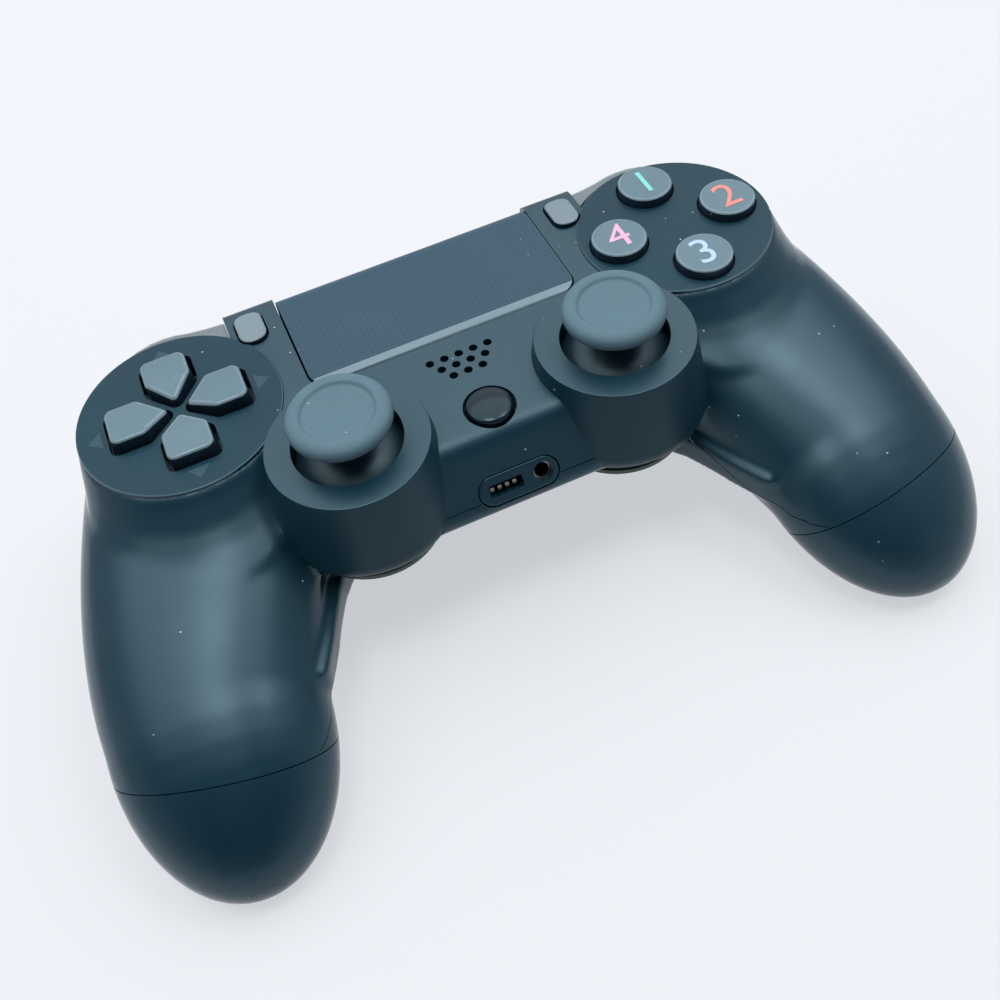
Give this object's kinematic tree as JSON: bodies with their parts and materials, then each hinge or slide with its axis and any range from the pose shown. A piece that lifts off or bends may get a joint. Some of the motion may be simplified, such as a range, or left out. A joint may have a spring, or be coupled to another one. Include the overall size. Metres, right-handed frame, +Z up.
{
  "type": "game controller",
  "caption": "Wireless handheld game controller with thumbsticks, direction keys, action buttons, touch pad, bumpers and triggers on a housing with curved grips.",
  "frame": {"origin": "middle of the footprint on the table that the grips and trigger lips rest on", "axes": "+X to the player's right along the longest side, +Y away from the player toward the triggers, +Z up out of the button face"},
  "size_m": [0.164, 0.0988, 0.0538],
  "materials": {
    "body_plastic": "fine matte",
    "under_plastic": "fine matte",
    "pad_plastic": "fine dots",
    "key_plastic": "satin",
    "gloss_black": "gloss",
    "stick_rubber": "matte",
    "lever_plastic": "satin",
    "light_plastic": "smoked",
    "membrane_rubber": "matte",
    "board": "solder mask",
    "inner_plastic": "as moulded",
    "steel": "plain",
    "battery_wrap": "film wrap",
    "ribbon_film": "film"
  },
  "bodies": {
    "housing": {"top_shell": "body_plastic", "bottom_shell": "under_plastic", "port_bezel": "under_plastic", "left_trigger_bracket": "lever_plastic", "right_trigger_bracket": "lever_plastic", "light_bar": "light_plastic", "dpad_membrane": "membrane_rubber", "face_membrane": "membrane_rubber", "light_board": "board", "main_board": "board", "usb_board": "board", "inner_frame": "inner_plastic", "battery_tray": "inner_plastic", "speaker": "inner_plastic", "ext_connector": "inner_plastic", "headset_jack": "inner_plastic", "left_stick_base": "inner_plastic", "right_stick_base": "inner_plastic", "usb_socket": "steel", "bumper_pins": "steel", "trigger_pins": "steel", "trigger_springs": "steel", "touch_switch": "steel", "menu_switches": "steel", "home_switch": "steel", "stick_switches": "steel", "left_motor_can": "steel", "right_motor_can": "steel", "shell_screws": "steel", "battery_pack": "battery_wrap", "pad_ribbon": "ribbon_film"},
    "touchpad": {"touchpad_cover": "pad_plastic", "touch_sensor_board": "board"},
    "dpad_rocker": {"dpad_pivot": "membrane_rubber"},
    "dpad": {"dpad_cross": "key_plastic"},
    "button_north": {"button_north": "key_plastic"},
    "button_east": {"button_east": "key_plastic"},
    "button_south": {"button_south": "key_plastic"},
    "button_west": {"button_west": "key_plastic"},
    "share_button": {"share_button": "key_plastic"},
    "options_button": {"options_button": "key_plastic"},
    "home_button": {"home_button": "gloss_black"},
    "left_bumper": {"left_bumper": "lever_plastic"},
    "right_bumper": {"right_bumper": "lever_plastic"},
    "left_trigger": {"left_trigger": "lever_plastic"},
    "right_trigger": {"right_trigger": "lever_plastic"},
    "left_weight": {"left_motor_weight": "steel"},
    "right_weight": {"right_motor_weight": "steel"},
    "left_stick_slide": {"left_stick_cradle": "steel"},
    "left_gimbal": {"left_stick_yoke": "inner_plastic"},
    "left_stick": {"left_stick_post": "steel", "left_stick_dome": "gloss_black", "left_stick_cap": "stick_rubber"},
    "right_stick_slide": {"right_stick_cradle": "steel"},
    "right_gimbal": {"right_stick_yoke": "inner_plastic"},
    "right_stick": {"right_stick_post": "steel", "right_stick_dome": "gloss_black", "right_stick_cap": "stick_rubber"}
  },
  "joints": [
    {"name": "button_north_press", "type": "slide", "parent": "housing", "child": "button_north", "axis": [0, 0, -1], "range_m": [0, 0.0012], "stiffness_N_per_m": 600, "springref_m": -0.001, "deforming": ["face_membrane"]},
    {"name": "button_east_press", "type": "slide", "parent": "housing", "child": "button_east", "axis": [0, 0, -1], "range_m": [0, 0.0012], "stiffness_N_per_m": 600, "springref_m": -0.001, "deforming": ["face_membrane"]},
    {"name": "button_south_press", "type": "slide", "parent": "housing", "child": "button_south", "axis": [0, 0, -1], "range_m": [0, 0.0012], "stiffness_N_per_m": 600, "springref_m": -0.001, "deforming": ["face_membrane"]},
    {"name": "button_west_press", "type": "slide", "parent": "housing", "child": "button_west", "axis": [0, 0, -1], "range_m": [0, 0.0012], "stiffness_N_per_m": 600, "springref_m": -0.001, "deforming": ["face_membrane"]},
    {"name": "share_press", "type": "slide", "parent": "housing", "child": "share_button", "axis": [0, 0, -1], "range_m": [0, 0.0006], "stiffness_N_per_m": 600, "springref_m": -0.001},
    {"name": "options_press", "type": "slide", "parent": "housing", "child": "options_button", "axis": [0, 0, -1], "range_m": [0, 0.0006], "stiffness_N_per_m": 600, "springref_m": -0.001},
    {"name": "home_press", "type": "slide", "parent": "housing", "child": "home_button", "axis": [0, 0, -1], "range_m": [0, 0.0006], "stiffness_N_per_m": 600, "springref_m": -0.001},
    {"name": "dpad_up_down", "type": "hinge", "parent": "housing", "child": "dpad_rocker", "pos_m": [-0.0493, 0.0249, 0.0385], "axis": [1, 0, 0], "range_deg": [-5, 5], "stiffness_Nm_per_rad": 0.05, "deforming": ["dpad_membrane"]},
    {"name": "dpad_left_right", "type": "hinge", "parent": "dpad_rocker", "child": "dpad", "pos_m": [-0.0493, 0.0249, 0.0385], "axis": [0, 1, 0], "range_deg": [-5, 5], "stiffness_Nm_per_rad": 0.05, "deforming": ["dpad_membrane"]},
    {"name": "touchpad_press", "type": "hinge", "parent": "housing", "child": "touchpad", "pos_m": [0, 0.0453, 0.0384], "axis": [1, 0, 0], "range_deg": [0, 1.1], "stiffness_Nm_per_rad": 0.5, "springref_deg": -5.73},
    {"name": "left_bumper_press", "type": "hinge", "parent": "housing", "child": "left_bumper", "pos_m": [-0.0396, 0.0432, 0.036], "axis": [0, 0, 1], "range_deg": [0, 1.4], "stiffness_Nm_per_rad": 0.2, "springref_deg": -5.73},
    {"name": "left_trigger_pull", "type": "hinge", "parent": "housing", "child": "left_trigger", "pos_m": [-0.04885, 0.0399, 0.0242], "axis": [-1, 0, 0], "range_deg": [0, 20], "stiffness_Nm_per_rad": 0.08, "springref_deg": -28.65},
    {"name": "left_stick_click", "type": "slide", "parent": "housing", "child": "left_stick_slide", "axis": [0, 0, -1], "range_m": [0, 0.0005], "stiffness_N_per_m": 4000, "springref_m": -0.001},
    {"name": "left_stick_up_down", "type": "hinge", "parent": "left_stick_slide", "child": "left_gimbal", "pos_m": [-0.0248, 0.0015, 0.033], "axis": [1, 0, 0], "range_deg": [-14, 14], "stiffness_Nm_per_rad": 0.05},
    {"name": "left_stick_left_right", "type": "hinge", "parent": "left_gimbal", "child": "left_stick", "pos_m": [-0.0248, 0.0015, 0.033], "axis": [0, 1, 0], "range_deg": [-14, 14], "stiffness_Nm_per_rad": 0.05},
    {"name": "left_weight_spin", "type": "hinge", "parent": "housing", "child": "left_weight", "pos_m": [-0.0655, -0.0121, 0.01701], "axis": [1, 0, 0], "continuous": true},
    {"name": "right_bumper_press", "type": "hinge", "parent": "housing", "child": "right_bumper", "pos_m": [0.0396, 0.0432, 0.036], "axis": [0, 0, -1], "range_deg": [0, 1.4], "stiffness_Nm_per_rad": 0.2, "springref_deg": -5.73},
    {"name": "right_trigger_pull", "type": "hinge", "parent": "housing", "child": "right_trigger", "pos_m": [0.04885, 0.0399, 0.0242], "axis": [-1, 0, 0], "range_deg": [0, 20], "stiffness_Nm_per_rad": 0.08, "springref_deg": -28.65},
    {"name": "right_stick_click", "type": "slide", "parent": "housing", "child": "right_stick_slide", "axis": [0, 0, -1], "range_m": [0, 0.0005], "stiffness_N_per_m": 4000, "springref_m": -0.001},
    {"name": "right_stick_up_down", "type": "hinge", "parent": "right_stick_slide", "child": "right_gimbal", "pos_m": [0.0248, 0.0015, 0.033], "axis": [1, 0, 0], "range_deg": [-14, 14], "stiffness_Nm_per_rad": 0.05},
    {"name": "right_stick_left_right", "type": "hinge", "parent": "right_gimbal", "child": "right_stick", "pos_m": [0.0248, 0.0015, 0.033], "axis": [0, 1, 0], "range_deg": [-14, 14], "stiffness_Nm_per_rad": 0.05},
    {"name": "right_weight_spin", "type": "hinge", "parent": "housing", "child": "right_weight", "pos_m": [0.0655, -0.0121, 0.01701], "axis": [1, 0, 0], "continuous": true}
  ]
}
